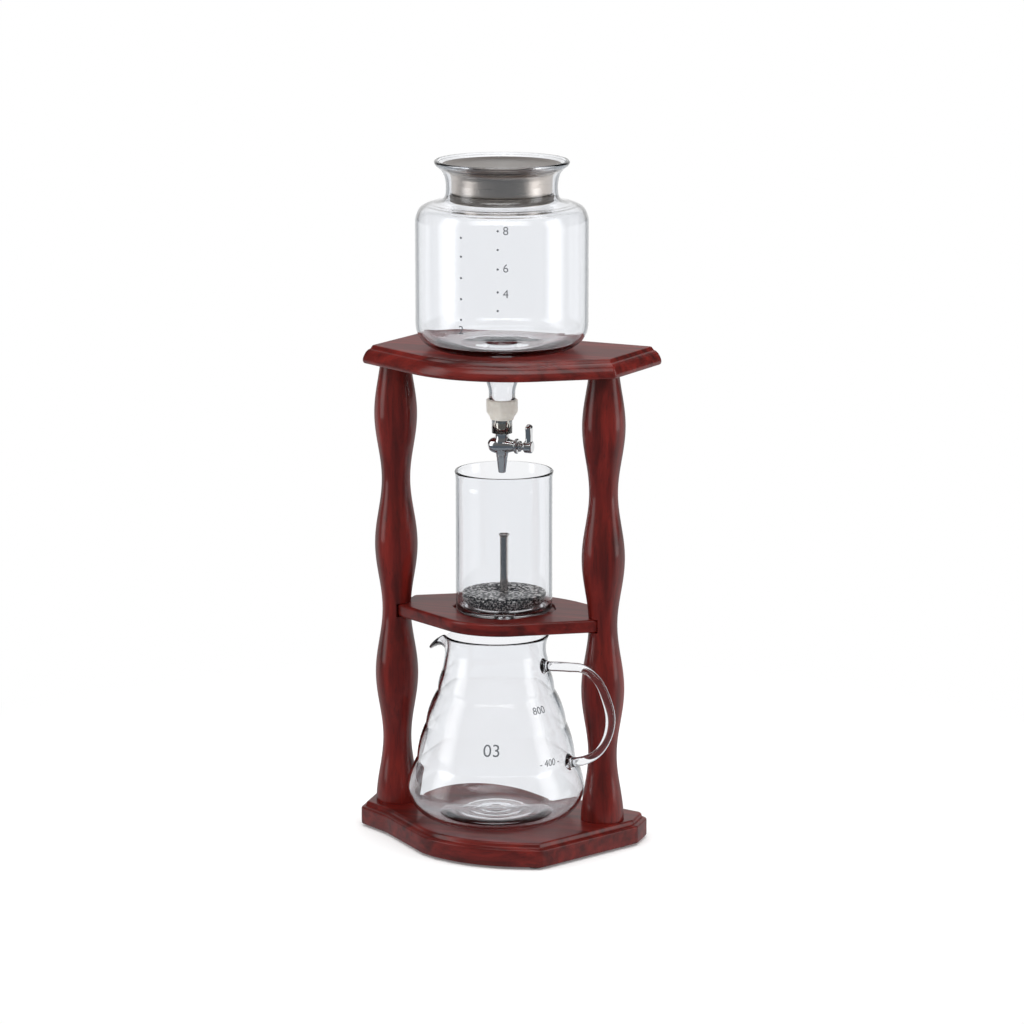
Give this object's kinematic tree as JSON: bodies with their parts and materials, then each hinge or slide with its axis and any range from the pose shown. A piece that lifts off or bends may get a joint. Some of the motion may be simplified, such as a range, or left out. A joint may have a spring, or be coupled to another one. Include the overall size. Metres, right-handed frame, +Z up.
{
  "type": "cold drip coffee tower",
  "caption": "Wooden stand with turned posts and moulded boards, holding a lidded glass tank with a drip tap above a glass brewer with a metal filter and a handled glass carafe.",
  "frame": {"origin": "on the surface that the feet stand on, under the middle of the tower's bounding box", "axes": "+Z up, +X to the right as seen from the front, towards the carafe's handle and the tap's lever, +Y to the back"},
  "size_m": [0.2248, 0.1682, 0.5233],
  "materials": {
    "lacquered_wood": "glossy dark red-brown lacquer",
    "clear_glass": "clear, polished",
    "steel": "brushed",
    "chrome": "polished",
    "dark_rubber": "matt",
    "pale_silicone": "satin, ivory",
    "clear_plastic": "clear, glossy"
  },
  "bodies": {
    "stand": {"base_board": "lacquered_wood", "foot_1": "dark_rubber", "foot_2": "dark_rubber", "foot_3": "dark_rubber", "foot_4": "dark_rubber", "foot_5": "dark_rubber", "post_left": "lacquered_wood", "post_right": "lacquered_wood", "post_bolt_left": "steel", "post_bolt_right": "steel", "shelf": "lacquered_wood", "top_board": "lacquered_wood"},
    "tank": {"tank_glass": "clear_glass", "tap_collar": "pale_silicone", "tap_sleeve": "clear_plastic", "tap_inlet": "chrome", "tap_body": "chrome", "tap_nozzle": "chrome", "tap_nut": "chrome"},
    "tap_handle": {"tap_plug": "chrome", "tap_lever": "chrome"},
    "lid": {"lid_cap": "steel", "lid_seal": "dark_rubber"},
    "brewer": {"brewer_glass": "clear_glass"},
    "filter": {"filter_dish": "steel", "filter_mesh": "steel", "filter_tube": "steel"},
    "carafe": {"carafe_glass": "clear_glass"}
  },
  "joints": [
    {"name": "tank_lift", "type": "slide", "parent": "stand", "child": "tank", "axis": [0, 0, 1], "range_m": [0, 0.1]},
    {"name": "tap_turn", "type": "hinge", "parent": "tank", "child": "tap_handle", "pos_m": [0, 0.01829, 0.3056], "axis": [1, 0, 0], "range_deg": [0, 90]},
    {"name": "lid_lift", "type": "slide", "parent": "tank", "child": "lid", "axis": [0, 0, 1], "range_m": [0, 0.05]},
    {"name": "brewer_lift", "type": "slide", "parent": "stand", "child": "brewer", "axis": [0, 0, 1], "range_m": [0, 0.02]},
    {"name": "filter_lift", "type": "slide", "parent": "brewer", "child": "filter", "axis": [0, 0, 1], "range_m": [0, 0.018]},
    {"name": "carafe_slide", "type": "slide", "parent": "stand", "child": "carafe", "axis": [0, -1, 0], "range_m": [0, 0.16]}
  ]
}
